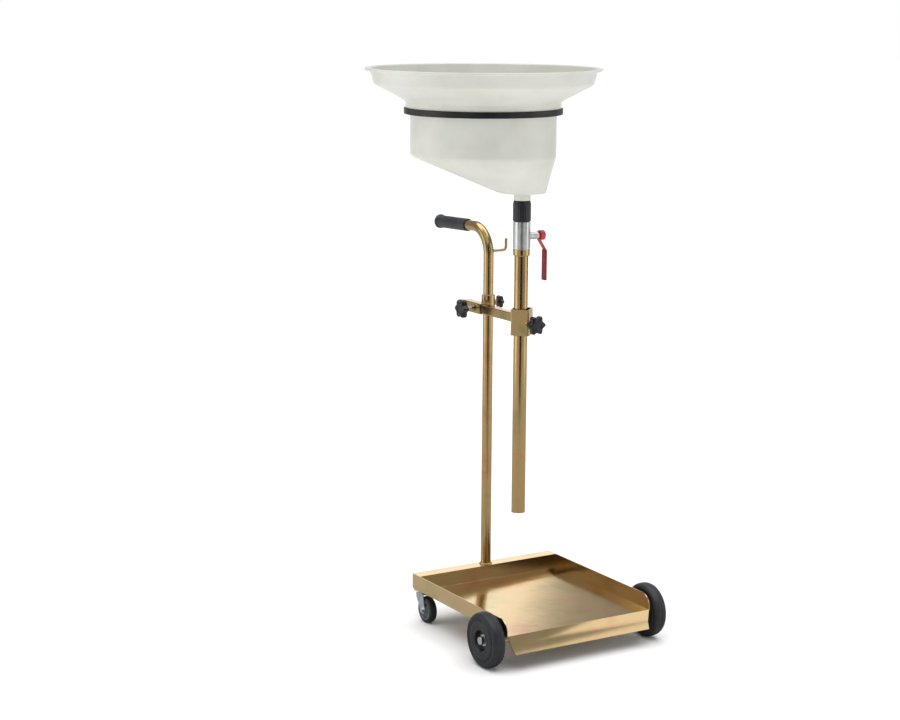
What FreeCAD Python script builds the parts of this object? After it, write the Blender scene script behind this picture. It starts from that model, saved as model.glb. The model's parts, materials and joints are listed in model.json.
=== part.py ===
import FreeCAD, Part
import math
import os

# Mobile gravity waste-oil drainer. Millimetres. Origin on the ground below the middle of the tray
# floor, +X to the right, +Y to the rear (the handle side), +Z up.
V = FreeCAD.Vector
X = V(1, 0, 0)
Y = V(0, 1, 0)
Z = V(0, 0, 1)

# ---- clearances -------------------------------------------------------------------------------
running = 0.05        # radial clearance of a shaft that turns in its bore
sliding = 0.3         # gap between bodies that pass each other
screw_gap = 0.4       # gap between a clamp screw's tip and what it clamps

# ---- tray -------------------------------------------------------------------------------------
tray_width = 460.0        # inside, across
tray_depth = 462.0        # inside, front edge to rear wall
floor_top = 95.0          # height of the floor's upper face
sheet = 2.0               # sheet thickness
wall_height = 41.0        # wall above the floor
flange_depth = 40.0       # flat flange behind the rear wall
wall_nose_r = 36.0        # radius of the side wall's front top corner
apron_upper = 30.0        # drop of the apron's steep upper band
apron_toe = 18.0          # drop of its kicked-out toe
apron_reach = 20.0        # how far the toe stands in front of the floor
apron_fold_reach = 7.0    # how far the fold line stands in front of the floor
apron_inset = 13.0        # narrowing of each side at the toe
rib_width = 28.0          # stiffening channel under the floor
rib_height = 9.0

# ---- front wheels and axle ----------------------------------------------------------------------
wheel_d = 150.0
wheel_width = 37.0
wheel_gap = 12.0          # side wall to wheel
front_axle_y = -174.0
axle_d = 16.0
tyre_bore_d = 106.0       # where the tyre sits on the core
core_recess_d = 56.0      # round recess in each side that holds the axle's end
core_recess = 12.0        # its depth
bush_wall = 3.0
washer_t = 2.0
axle_cap_t = 12.0
axle_cap_wall = 3.0
spacer_wall = 3.0
bracket_width = 34.0      # axle bracket, along the axle
bracket_t = 4.0

# ---- casters ------------------------------------------------------------------------------------
caster_wheel_d = 75.0
caster_wheel_width = 23.0
caster_trail = 22.0
caster_x = 208.0          # swivel axis, each side of the middle
caster_rear_inset = 22.0  # swivel axis in front of the tray's rear edge
caster_plate = 44.0
caster_plate_t = 3.0
caster_bolt_pitch = 32.0
caster_bolt_d = 6.0
kingpin_d = 10.0
raceway_d = 32.0
raceway_t = 7.0
fork_t = 2.5
fork_side_gap = 2.0       # wheel to fork cheek
caster_axle_d = 8.0
caster_tread_t = 9.0
caster_hub_d = 24.0

# ---- post, handle, hook -------------------------------------------------------------------------
post_d = 29.0
post_wall = 2.0
handle_z = 1109.0         # height of the handle's axis
bend_r = 74.0
handle_tilt = 2.0         # handle falls towards its end, degrees
handle_reach = 262.0      # handle end behind the post axis, along the handle
grip_length = 158.0
grip_wall = 3.4
grip_end_t = 4.0
grip_flange_step = 2.6    # flange above the grip's surface
grip_flange_t = 5.0
hook_wire_d = 8.0
hook_z = 1046.0
hook_reach = 43.0
hook_rise = 30.0
hook_bend_r = 10.0

# ---- collar and horizontal sleeve on the post ---------------------------------------------------
collar_z = 900.0
collar_wall = 3.1
collar_height = 44.0
liner_wall = 1.3
liner_lip = 1.5
liner_slit = 2.0
arm_z = 889.0
arm_size = 25.0           # square tube, outside
arm_wall = 2.0
sleeve_wall = 2.0
sleeve_length = 95.0
sleeve_offset = 12.0      # sleeve's middle behind the post's axis
arm_tail = 6.0            # arm behind the sleeve at rest
block_wall = 3.0          # square clamp tube that stands corner-on to the arm
block_room = 4.0          # play between the drop tube and each wall when centred
block_corner_r = 4.0
block_height = 72.0
block_drop = 7.0          # block's middle below the arm's
boss_d = 18.0             # weld nut under each clamp screw
boss_t = 5.0
stud_d = 8.0

# ---- star knobs ---------------------------------------------------------------------------------
knob_d = 55.0
small_knob_d = 37.0
knob_t = 19.0
small_knob_t = 13.0
knob_neck_d = 20.0
knob_neck_t = 6.0
knob_lobes = 6
knob_root_share = 0.75    # radius between lobes as a share of the knob's radius
knob_stud_share = 0.7     # how deep the stud sits, as a share of the knob's thickness
knob_edge_r = 2.0
sleeve_stud_show = 19.0   # bare stud between boss and knob
block_stud_show = 18.0
small_stud_show = 4.0

# ---- drop tube and ball valve -------------------------------------------------------------------
tube_y = 30.0
tube_d = 38.0
tube_wall = 2.0
tube_bottom = 347.0
tube_top = 1080.0
tube_ring_h = 18.0
valve_top = 1154.0        # top face of the valve's body
stem_z = 1114.0
valve_foot_wall = 3.5     # round foot of the valve outside the tube
valve_hex = 41.0          # across flats
valve_foot_h = 4.0
valve_boss_d = 19.0
valve_bore_d = 25.0
ball_d = 34.0
nipple_d = 33.0
nipple_height = 26.0      # threaded end above the valve's body
stem_d = 10.0
gland_hex = 17.0
gland_face = 52.0         # outer face of the gland nut from the tube axis
gland_t = 8.0
lever_t = 3.0
lever_width = 15.0
lever_jog_x = 73.0        # lever's outer run from the tube axis
lever_length = 122.0
lever_jog_drop = 30.0
lever_hub_d = 27.0
lever_hub_t = 15.0
lever_hub_cover = 2.0     # plastic left over the stem's end
lever_cover_wall = 1.8

# ---- funnel -------------------------------------------------------------------------------------
funnel_offset = 125.0     # funnel axis from the tube axis, towards -X
plastic = 3.0
coupling_d = 49.0
coupling_bottom = 1155.0
coupling_top = 1212.0
coupling_taper = 2.0
neck_depth = 30.0         # neck inside the coupling
neck_d = 38.0             # neck inside the coupling
neck_step = 4.0           # shoulder on the neck above the coupling
neck_wall = 3.5
sump_floor = 1232.0       # underside of the sump
sump_d = 128.0
hopper_d = 388.0
hopper_foot = 1337.0      # where the cylinder meets the sloped sump
hopper_top = 1450.0
hopper_lip = 12.0
seal_d = 420.0
seal_height = 13.0
seal_wrap = 3.0
throat_gap = 1.5          # bowl's spigot inside the hopper
spigot_depth = 24.0
band_d = 412.0
band_height = 15.0
cone_foot_d = 426.0
cone_foot_z = 1484.0
cone_head_d = 580.0
cone_head_z = 1524.0
rim_inner_d = 600.0
rim_d = 626.0
rim_z = 1566.0
rim_t = 6.0

# ---- strainer -----------------------------------------------------------------------------------
strainer_d = 396.0
strainer_t = 2.0
strainer_hole_d = 34.0
strainer_pitch = 44.0
strainer_rings = 3
strainer_handle_d = 6.0
strainer_handle_h = 26.0
strainer_handle_w = 70.0

# ---- places worked out from the sizes above -------------------------------------------------------
floor_under = floor_top - sheet
wall_top = floor_top + wall_height
half_w = tray_width / 2
front_y = -tray_depth / 2
rear_wall_y = tray_depth / 2
rear_edge = rear_wall_y + flange_depth
post_y = rear_wall_y + flange_depth / 2
post_r = post_d / 2
wheel_r = wheel_d / 2
wheel_x = half_w + sheet + wheel_gap + wheel_width / 2
hub_half = wheel_width / 2 - core_recess
caster_y = rear_edge - caster_rear_inset
plate_under = floor_under - caster_plate_t
liner_r = post_r + running
liner_outer_r = liner_r + liner_wall
collar_bore_r = liner_outer_r + running
collar_d = 2 * (collar_bore_r + collar_wall)
sleeve_half = arm_size / 2 + sliding + sleeve_wall
arm_x = -(collar_d / 2 + sleeve_half)
sleeve_y = post_y + sleeve_offset
arm_rear = sleeve_y + sleeve_length / 2 + arm_tail
tube_r = tube_d / 2
valve_foot_r = tube_r + valve_foot_wall
tube_x = arm_x
block_half = tube_r + block_room + block_wall
block_y = tube_y - (block_room - sliding) * math.sqrt(2)
block_z = arm_z - block_drop
block_front_y = block_y - block_half * math.sqrt(2) + block_corner_r * (math.sqrt(2) - 1)
ball_r = ball_d / 2
funnel_x = tube_x - funnel_offset
neck_foot = coupling_top - neck_depth
hopper_r = hopper_d / 2
throat_r = hopper_r - plastic - throat_gap
seal_top = hopper_top + plastic + seal_height - seal_wrap
bowl_seat = seal_top + sliding
strainer_seat = bowl_seat + plastic


def cyl(r, length, at, axis=Z):
    return Part.makeCylinder(r, length, at, axis)


def pipe(r_out, r_in, length, at, axis=Z):
    return cyl(r_out, length, at, axis).cut(cyl(r_in, length, at, axis))


def box(x0, x1, y0, y1, z0, z1):
    return Part.makeBox(x1 - x0, y1 - y0, z1 - z0, V(x0, y0, z0))


def moved(shape, step):
    copy = shape.copy()
    copy.translate(step)
    return copy


def mirrored(shape):
    """The same piece on the other side of the object's middle plane."""
    return shape.mirror(V(0, 0, 0), X)


def sided(shape, side):
    return shape if side > 0 else mirrored(shape)


def group(shapes):
    """Identical pieces that share one node."""
    return Part.makeCompound(shapes)


def prism(points, step):
    wire = Part.makePolygon(points + [points[0]])
    return Part.Face(wire).extrude(step)


def turned(profile, x, y):
    """Solid of revolution about the vertical line through x, y from (radius, height) corners."""
    points = [V(x + r, y, z) for r, z in profile]
    face = Part.Face(Part.makePolygon(points + [points[0]]))
    return face.revolve(V(x, y, 0), Z, 360)


def turned_x(profile, y, z):
    """Solid of revolution about a line along X from (x, radius) corners."""
    points = [V(px, y, z + r) for px, r in profile]
    face = Part.Face(Part.makePolygon(points + [points[0]]))
    return face.revolve(V(0, y, z), X, 360)


def hex_prism(flats, height, at, axis=Z):
    """Hexagonal prism standing on at along axis, flats apart across its flats."""
    side = V(axis.y, axis.z, axis.x)
    up = axis.cross(side)
    r = flats / math.sqrt(3)
    corners = [at + side * (r * math.cos(k * math.pi / 3)) + up * (r * math.sin(k * math.pi / 3))
               for k in range(6)]
    return prism(corners, axis * height)


def swept_disc(edges, r):
    """Round bar of radius r along edges, closed flat at both ends."""
    path = Part.Wire(edges)
    start = edges[0].valueAt(edges[0].FirstParameter)
    along = edges[0].tangentAt(edges[0].FirstParameter)
    ring = Part.Wire(Part.makeCircle(r, start, along))
    return path.makePipeShell([ring], True, False)


def arc(a, middle, b):
    return Part.Arc(a, middle, b).toShape()


def rounded_x(shape, r):
    """Rounds the corners of a block along its X edges."""
    edges = [e for e in shape.Edges if abs(e.tangentAt(e.FirstParameter).x) > 0.99]
    return shape.makeFillet(r, edges)


# ---- tray and running gear ------------------------------------------------------------------------
def tray():
    out_w = half_w + sheet
    side = box(half_w, out_w, front_y, rear_edge, floor_under, wall_top)
    nose = [e for e in side.Edges
            if abs(e.CenterOfMass.y - front_y) < 0.1 and abs(e.CenterOfMass.z - wall_top) < 0.1]
    side = side.makeFillet(wall_nose_r, nose)
    reach = half_w + sheet / 2
    body = box(-reach, reach, front_y, rear_wall_y + sheet, floor_under, floor_top)
    back = box(-reach, reach, rear_wall_y, rear_wall_y + sheet, floor_under, wall_top)
    flange = box(-reach, reach, rear_wall_y, rear_edge, wall_top - sheet, wall_top)
    skirt = box(-reach, reach, rear_edge - sheet, rear_edge, floor_under, wall_top)
    body = body.fuse([side, mirrored(side), back, flange, skirt, apron()])
    return body.removeSplitter()


def apron():
    """Front apron: a steep band down from the floor, then a toe kicked out to the front."""
    fold_y = front_y - apron_fold_reach
    toe_y = front_y - apron_reach
    fold_z = floor_top - apron_upper
    toe_z = fold_z - apron_toe
    profile = [V(-half_w, front_y + sheet, floor_top), V(-half_w, front_y, floor_top),
               V(-half_w, fold_y, fold_z), V(-half_w, toe_y, toe_z),
               V(-half_w, toe_y + sheet, toe_z - sheet / 2), V(-half_w, fold_y + sheet, fold_z - sheet),
               V(-half_w, front_y + sheet, floor_under)]
    sheet_strip = prism(profile, V(tray_width, 0, 0))
    deep = floor_top - toe_z + 2 * sheet
    for side in (-1, 1):
        edge = side * half_w
        wedge = [V(edge, front_y - 100, floor_top), V(edge, front_y - 100, floor_top - deep),
                 V(edge - side * apron_inset * deep / (deep - 2 * sheet), front_y - 100, floor_top - deep)]
        sheet_strip = sheet_strip.cut(prism(wedge, V(0, 100 + 2 * sheet, 0)))
    return sheet_strip


def under_ribs():
    """Two channels welded under the floor, carrying the load to axle and casters."""
    length = tray_depth - 60
    ribs = []
    for x in (-tray_width / 4, tray_width / 4):
        outer = box(x - rib_width / 2, x + rib_width / 2, -length / 2, length / 2,
                    floor_under - rib_height, floor_under)
        inner = box(x - rib_width / 2 + sheet, x + rib_width / 2 - sheet, -length / 2, length / 2,
                    floor_under - rib_height + sheet, floor_under)
        ribs.append(outer.cut(inner))
    return group(ribs)


def front_axle():
    half = wheel_x + hub_half + washer_t + axle_cap_t / 2
    return cyl(axle_d / 2, 2 * half, V(-half, front_axle_y, wheel_r), X)


def bracket_places():
    return [side * (half_w - bracket_width) for side in (-1, 1)]


def axle_brackets():
    """A folded saddle on each side that ties the axle to the floor's underside."""
    out = []
    bore = cyl(axle_d / 2 + running, 2 * wheel_x, V(-wheel_x, front_axle_y, wheel_r), X)
    low = wheel_r - axle_d / 2 - bracket_t
    for x in bracket_places():
        saddle = box(x - bracket_width / 2, x + bracket_width / 2,
                     front_axle_y - axle_d, front_axle_y + axle_d, low, floor_under)
        saddle = rounded_x(saddle, 3.0)
        out.append(saddle.cut(bore))
    return group(out)


def axle_washers():
    out = []
    for side in (-1, 1):
        for x in (wheel_x - hub_half - washer_t, wheel_x + hub_half):
            washer = pipe(axle_d, axle_d / 2 + running, washer_t, V(x, front_axle_y, wheel_r), X)
            out.append(sided(washer, side))
    return group(out)


def axle_caps():
    """Push-on caps that keep the wheels on the axle."""
    out = []
    for side in (-1, 1):
        x = wheel_x + hub_half + washer_t
        cap = cyl(axle_d / 2 + axle_cap_wall, axle_cap_t, V(x, front_axle_y, wheel_r), X)
        rim = [e for e in cap.Edges if abs(e.CenterOfMass.x - x - axle_cap_t) < 0.1]
        cap = cap.makeFillet(2.0, rim)
        hole = cyl(axle_d / 2 + running, axle_cap_t / 2, V(x, front_axle_y, wheel_r), X)
        out.append(sided(cap.cut(hole), side))
    return group(out)


def axle_spacers():
    """Tubes on the axle between each bracket and its wheel."""
    out = []
    start = half_w - bracket_width / 2
    end = wheel_x - hub_half - washer_t
    for side in (-1, 1):
        tube = pipe(axle_d / 2 + running + spacer_wall, axle_d / 2 + running, end - start,
                    V(start, front_axle_y, wheel_r), X)
        out.append(sided(tube, side))
    return group(out)


def wheel_tyre():
    """Solid rubber tyre with rounded shoulders and a step in each side wall."""
    h = wheel_width / 2
    r = wheel_r
    profile = [(-h, tyre_bore_d / 2), (-h, r - 22), (-h + 2.5, r - 20), (-h + 2.5, r - 15), (-h, r - 13),
               (-h, r - 9), (-h + 3, r - 4), (-h + 8, r - 1.2), (-h + 14, r), (h - 14, r), (h - 8, r - 1.2),
               (h - 3, r - 4), (h, r - 9), (h, r - 13), (h - 2.5, r - 15), (h - 2.5, r - 20), (h, r - 22),
               (h, tyre_bore_d / 2)]
    return turned_x([(wheel_x + px, pr) for px, pr in profile], front_axle_y, r)


def wheel_core():
    """Moulded core, flush with the tyre, with a round recess in each side."""
    h = wheel_width / 2
    rim = tyre_bore_d / 2
    bore = axle_d / 2 + running + bush_wall
    recess = core_recess_d / 2
    profile = [(-h, rim), (-h, recess + 1.5), (-h + 1.5, recess), (-hub_half, recess - 2), (-hub_half, bore),
               (hub_half, bore), (hub_half, recess - 2), (h - 1.5, recess), (h, recess + 1.5), (h, rim)]
    return turned_x([(wheel_x + px, pr) for px, pr in profile], front_axle_y, wheel_r)


def wheel_bush():
    inner = axle_d / 2 + running
    return pipe(inner + bush_wall, inner, 2 * hub_half - 2 * sliding,
                V(wheel_x - hub_half + sliding, front_axle_y, wheel_r), X)


# ---- casters --------------------------------------------------------------------------------------
def caster_centre(side):
    return V(side * caster_x, caster_y, 0)


def caster_plates():
    out = []
    half = caster_plate / 2
    for side in (-1, 1):
        c = caster_centre(side)
        plate = box(c.x - half, c.x + half, c.y - half, c.y + half, plate_under, floor_under)
        upright = [e for e in plate.Edges if abs(e.tangentAt(e.FirstParameter).z) > 0.99]
        plate = plate.makeFillet(7.0, upright)
        for hole in caster_bolt_places(side):
            at = V(hole.x, hole.y, plate_under)
            plate = plate.cut(cyl(caster_bolt_d / 2 + sliding, caster_plate_t, at))
        out.append(plate)
    return group(out)


def caster_bolt_places(side):
    c = caster_centre(side)
    step = caster_bolt_pitch / 2
    return [V(c.x + sx * step, c.y + sy * step, 0) for sx in (-1, 1) for sy in (-1, 1)]


def caster_bolts():
    """Hexagon-head screws up through each plate."""
    out = []
    for side in (-1, 1):
        for p in caster_bolt_places(side):
            head = hex_prism(10.0, 4.0, V(p.x, p.y, plate_under - 4.0))
            out.append(head.fuse(cyl(caster_bolt_d / 2, caster_plate_t, V(p.x, p.y, plate_under))))
    return group(out)


def kingpins():
    """Pin with a flared head below the raceway that holds each fork up."""
    out = []
    for side in (-1, 1):
        c = caster_centre(side)
        pin = cyl(kingpin_d / 2, raceway_t + 2 * fork_t, V(c.x, c.y, plate_under - raceway_t - 2 * fork_t))
        head = cyl(kingpin_d / 2 + 4, 3.0, V(c.x, c.y, plate_under - raceway_t - 2 * fork_t - 3.0))
        out.append(pin.fuse(head))
    return group(out)


def raceways():
    """Pressed raceway cup under each plate."""
    out = []
    for side in (-1, 1):
        c = caster_centre(side)
        r = raceway_d / 2
        top = plate_under
        bore = kingpin_d / 2 + running
        low = top - raceway_t
        profile = [(bore, top), (r, top), (r, low + 3), (r - 2, low + sliding), (bore, low + sliding)]
        out.append(turned(profile, c.x, c.y))
    return group(out)


def caster_fork(side):
    """Fork: a dished crown under the raceway and two cheeks that lean forward to the axle."""
    c = caster_centre(side)
    inner = caster_wheel_width / 2 + fork_side_gap
    outer = inner + fork_t
    crown_top = plate_under - raceway_t
    crown_z = crown_top - fork_t
    axle_y = c.y - caster_trail
    axle_z = caster_wheel_d / 2
    crown = cyl(raceway_d / 2 - 1, fork_t, V(c.x, c.y, crown_z))
    web = box(c.x - outer, c.x + outer, c.y - raceway_d / 2, c.y + raceway_d / 2 - 4, crown_z, crown_top)
    parts = [web]
    for s in (-1, 1):
        x0 = c.x + (inner if s > 0 else -outer)
        cheek = [V(x0, c.y + 17, crown_top), V(x0, c.y + 14, crown_z - 14), V(x0, axle_y + 8, axle_z - 7),
                 V(x0, axle_y, axle_z - 11), V(x0, axle_y - 8, axle_z - 7), V(x0, axle_y - 10, axle_z + 2),
                 V(x0, c.y - 22, crown_top)]
        parts.append(prism(cheek, V(fork_t, 0, 0)))
    fork = crown.fuse(parts)
    fork = fork.cut(cyl(kingpin_d / 2 + running, 3 * fork_t, V(c.x, c.y, crown_z - fork_t)))
    fork = fork.cut(cyl(caster_axle_d / 2, 4 * outer, V(c.x - 2 * outer, axle_y, axle_z), X))
    return fork.removeSplitter()


def caster_axle(side):
    """Axle bolt with a hexagon head on one side and a nut on the other."""
    c = caster_centre(side)
    outer = caster_wheel_width / 2 + fork_side_gap + fork_t
    at = V(c.x - outer, c.y - caster_trail, caster_wheel_d / 2)
    bolt = cyl(caster_axle_d / 2, 2 * outer + 8, at, X)
    head = hex_prism(13.0, 5.0, at - V(5.0, 0, 0), X)
    nut = hex_prism(13.0, 6.0, at + V(2 * outer, 0, 0), X)
    return bolt.fuse([head, nut])


def caster_tread(side):
    c = caster_centre(side)
    h = caster_wheel_width / 2
    r = caster_wheel_d / 2
    inner = r - caster_tread_t
    profile = [(-h, inner), (-h, r - 5), (-h + 1.5, r - 2), (-h + 5, r),
               (h - 5, r), (h - 1.5, r - 2), (h, r - 5), (h, inner)]
    return turned_x([(c.x + px, pr) for px, pr in profile], c.y - caster_trail, r)


def caster_hub(side):
    c = caster_centre(side)
    h = caster_wheel_width / 2
    r = caster_wheel_d / 2 - caster_tread_t
    bore = caster_axle_d / 2 + running
    hub = caster_hub_d / 2
    end = h + fork_side_gap - sliding
    profile = [(-h, r), (-h, r - 3), (-3.5, r - 6), (-3.5, hub + 2), (-end, hub - 2), (-end, bore),
               (end, bore), (end, hub - 2), (3.5, hub + 2), (3.5, r - 6), (h, r - 3), (h, r)]
    return turned_x([(c.x + px, pr) for px, pr in profile], c.y - caster_trail, caster_wheel_d / 2)


# ---- post, handle and hook --------------------------------------------------------------------------
def handle_axis():
    tilt = math.radians(handle_tilt)
    return V(0, math.cos(tilt), -math.sin(tilt))


def bend_point(turn):
    """Point of the handle's bend after a turn in degrees from the upright."""
    a = math.radians(turn)
    return V(0, post_y + bend_r * (1 - math.cos(a)), handle_z - bend_r * (1 - math.sin(a)))


def handle_end():
    return bend_point(90.0 + handle_tilt) + handle_axis() * (handle_reach - bend_r)


def post_path():
    last = 90.0 + handle_tilt
    bend = arc(bend_point(0.0), bend_point(last / 2), bend_point(last))
    return [Part.makeLine(V(0, post_y, wall_top), bend_point(0.0)), bend,
            Part.makeLine(bend_point(last), handle_end())]


def post():
    outer = swept_disc(post_path(), post_r)
    inner = swept_disc(post_path(), post_r - post_wall)
    return outer.cut(inner)


def post_weld():
    """Fillet weld where the post stands on the flange."""
    leg = 4.0
    return turned([(post_r, wall_top), (post_r + leg, wall_top), (post_r, wall_top + leg)], 0, post_y)


def grip():
    """Rubber sleeve closed at its rear end, where it has a shallow flange."""
    along = handle_axis()
    end = handle_end() + along * grip_end_t
    start = end - along * grip_length
    r = post_r + grip_wall
    body = cyl(r, grip_length, start, along)
    body = body.fuse(cyl(r + grip_flange_step, grip_flange_t, end - along * grip_flange_t, along))
    rims = [e for e in body.Edges if abs((e.CenterOfMass - end).dot(along)) < 0.1]
    body = body.makeFillet(1.8, rims)
    return body.cut(cyl(post_r, grip_length - grip_end_t, start, along))


def hook():
    """Bent rod welded to the post's right side, its tip turned up."""
    r = hook_wire_d / 2
    b = hook_bend_r
    k = b * (1 - math.sqrt(0.5))
    root = V(post_r - r, post_y, hook_z)
    turn_in = V(post_r + hook_reach - b, post_y, hook_z)
    turn_out = V(post_r + hook_reach, post_y, hook_z + b)
    bend = arc(turn_in, V(turn_out.x - k, post_y, hook_z + k), turn_out)
    path = [Part.makeLine(root, turn_in), bend, Part.makeLine(turn_out, turn_out + V(0, 0, hook_rise - b))]
    rod = swept_disc(path, r)
    rod = rod.fuse(Part.makeSphere(r, turn_out + V(0, 0, hook_rise - b)))
    return rod.cut(cyl(post_r, 100.0, V(0, post_y, hook_z - 50.0)))


# ---- collar, sleeve and arm -------------------------------------------------------------------------
def collar_liner():
    """Nylon liner that the collar's screw closes on the post, split down its back."""
    low = collar_z - collar_height / 2
    body = pipe(liner_outer_r, liner_r, collar_height + 2 * sliding, V(0, post_y, low - sliding))
    for z in (low - sliding - liner_lip, low + collar_height + sliding):
        body = body.fuse(pipe(collar_d / 2 - 1, liner_r, liner_lip, V(0, post_y, z)))
    high = low + collar_height
    slit = box(0, collar_d, post_y - liner_slit / 2, post_y + liner_slit / 2, low - 10.0, high + 10.0)
    return body.cut(slit.rotated(V(0, post_y, 0), Z, 90.0))


def small_screw_at():
    return V(collar_d / 2 - 1, post_y, collar_z)


def collar():
    low = collar_z - collar_height / 2
    body = pipe(collar_d / 2, collar_bore_r, collar_height, V(0, post_y, low))
    return body.cut(cyl(stud_d / 2 + sliding, collar_d, V(0, post_y, collar_z), X))


def collar_boss():
    at = small_screw_at()
    body = cyl(boss_d / 2, boss_t, at, X).cut(cyl(stud_d / 2 + running, boss_t, at, X))
    return body.cut(cyl(collar_d / 2, collar_height, V(0, post_y, collar_z - collar_height / 2)))


def square_tube(half, wall, y0, y1, x, z):
    outer = box(x - half, x + half, y0, y1, z - half, z + half)
    upright = [e for e in outer.Edges if abs(e.tangentAt(e.FirstParameter).y) > 0.99]
    outer = outer.makeFillet(wall * 1.2, upright)
    bore = half - wall
    return outer.cut(box(x - bore, x + bore, y0, y1, z - bore, z + bore))


def arm_sleeve():
    half = sleeve_length / 2
    body = square_tube(sleeve_half, sleeve_wall, sleeve_y - half, sleeve_y + half, arm_x, arm_z)
    at = V(arm_x - sleeve_half, post_y, arm_z)
    body = body.cut(cyl(stud_d / 2 + sliding, 2 * sleeve_wall, at - V(sleeve_wall / 2, 0, 0), X))
    return body.cut(cyl(collar_d / 2, 4 * arm_size, V(0, post_y, arm_z - 2 * arm_size)))


def sleeve_boss():
    at = V(arm_x - sleeve_half, post_y, arm_z)
    return pipe(boss_d / 2, stud_d / 2 + running, boss_t, at, X * -1)


def arm_tube():
    """Square tube whose front end is notched to fit the clamp block's rear corner."""
    body = square_tube(arm_size / 2, arm_wall, block_y, arm_rear, arm_x, arm_z)
    return body.cut(diamond(block_half, block_corner_r, block_height))


def arm_cap():
    """Plastic plug in the arm's rear end."""
    half = arm_size / 2
    head = box(arm_x - half, arm_x + half, arm_rear, arm_rear + 3.0, arm_z - half, arm_z + half)
    head = head.makeFillet(1.2, head.Faces[3].Edges)
    core = half - arm_wall
    return head.fuse(box(arm_x - core, arm_x + core, arm_rear - 12.0, arm_rear, arm_z - core, arm_z + core))


def diamond(half, corner_r, height):
    """Upright square bar that stands corner-on to the arm."""
    low = block_z - height / 2
    body = box(tube_x - half, tube_x + half, block_y - half, block_y + half, low, low + height)
    upright = [e for e in body.Edges if abs(e.tangentAt(e.FirstParameter).z) > 0.99]
    body = body.makeFillet(corner_r, upright)
    body.rotate(V(tube_x, block_y, 0), Z, 45.0)
    return body


def clamp_block():
    """Square tube on its corner: its rear walls guide the drop tube and its screw presses from the front."""
    body = diamond(block_half, block_corner_r, block_height)
    body = body.cut(diamond(block_half - block_wall, block_corner_r - block_wall, 2 * block_height))
    return body.cut(cyl(stud_d / 2 + sliding, block_y - block_front_y, V(tube_x, block_y, block_z), Y * -1))


def block_boss():
    """Weld nut cut to sit on the block's front corner."""
    reach = boss_d / 2
    start = V(tube_x, block_front_y + reach, block_z)
    body = pipe(boss_d / 2, stud_d / 2 + running, boss_t + reach, start, Y * -1)
    return body.cut(diamond(block_half, block_corner_r, 2 * block_height))


# ---- clamp screws -------------------------------------------------------------------------------------
def knob_outline(size):
    """Closed smooth curve whose radius rises and falls once per lobe."""
    tip = size / 2
    mean = tip * (1 + knob_root_share) / 2
    swing = tip * (1 - knob_root_share) / 2
    steps = 8 * knob_lobes
    points = []
    for k in range(steps):
        a = 2 * math.pi * k / steps
        r = mean + swing * math.cos(knob_lobes * a)
        points.append(V(r * math.sin(a), r * math.cos(a), knob_neck_t))
    curve = Part.BSplineCurve()
    curve.interpolate(Points=points, PeriodicFlag=True)
    return Part.Wire(curve.toShape())


def knob(at, axis, size, thick):
    """Star knob with a tapered neck, standing on at and facing along axis, bored for its stud."""
    body = Part.Face(knob_outline(size)).extrude(Z * thick)
    ends = [e for e in body.Edges if len(e.Vertexes) < 2 and e.Length > size]
    body = body.makeFillet(knob_edge_r, ends)
    neck = Part.makeCone(knob_neck_d / 2 - 2, knob_neck_d / 2, knob_neck_t, V(0, 0, 0), Z)
    body = body.fuse(neck)
    body = body.cut(cyl(stud_d / 2, thick * knob_stud_share + knob_neck_t, V(0, 0, 0)))
    body.Placement = FreeCAD.Placement(at, FreeCAD.Rotation(Z, axis))
    return body


def stud(tip, at, axis, thick):
    """Plain-ended clamp screw from its tip up into the knob's hub."""
    length = (at - tip).dot(axis) + thick * knob_stud_share + knob_neck_t
    body = cyl(stud_d / 2, length, tip, axis)
    end = [e for e in body.Edges if abs((e.CenterOfMass - tip).dot(axis)) < 0.1]
    return body.makeChamfer(0.8, end)


def screws():
    """Name, knob and stud of each clamp screw: post collar, arm sleeve and tube block."""
    left = X * -1
    front = Y * -1
    seat_a = V(collar_d / 2 - 1 + boss_t + small_stud_show, post_y, collar_z)
    tip_a = V(liner_outer_r + screw_gap, post_y, collar_z)
    seat_b = V(arm_x - sleeve_half - boss_t - sleeve_stud_show, post_y, arm_z)
    tip_b = V(arm_x - arm_size / 2 - screw_gap, post_y, arm_z)
    seat_c = V(tube_x, block_front_y - boss_t - block_stud_show, block_z)
    tip_c = V(tube_x, tube_y - tube_r - screw_gap, block_z)
    rows = [("collar", tip_a, seat_a, X, small_knob_d, small_knob_t),
            ("sleeve", tip_b, seat_b, left, knob_d, knob_t),
            ("block", tip_c, seat_c, front, knob_d, knob_t)]
    out = {}
    for name, tip, seat, axis, size, thick in rows:
        out["knob_" + name] = knob(seat, axis, size, thick)
        out["stud_" + name] = stud(tip, seat, axis, thick)
    return out


# ---- drop tube and valve --------------------------------------------------------------------------------
def drop_tube():
    return pipe(tube_r, tube_r - tube_wall, tube_top - tube_bottom, V(tube_x, tube_y, tube_bottom))


def tube_ring():
    """Turned collar brazed round the tube's top, under the valve."""
    low = tube_top - tube_ring_h
    r = tube_r
    profile = [(r, low), (r + 2.5, low), (r + 4, low + 2), (r + 4, tube_top), (r, tube_top)]
    return turned(profile, tube_x, tube_y)


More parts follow.
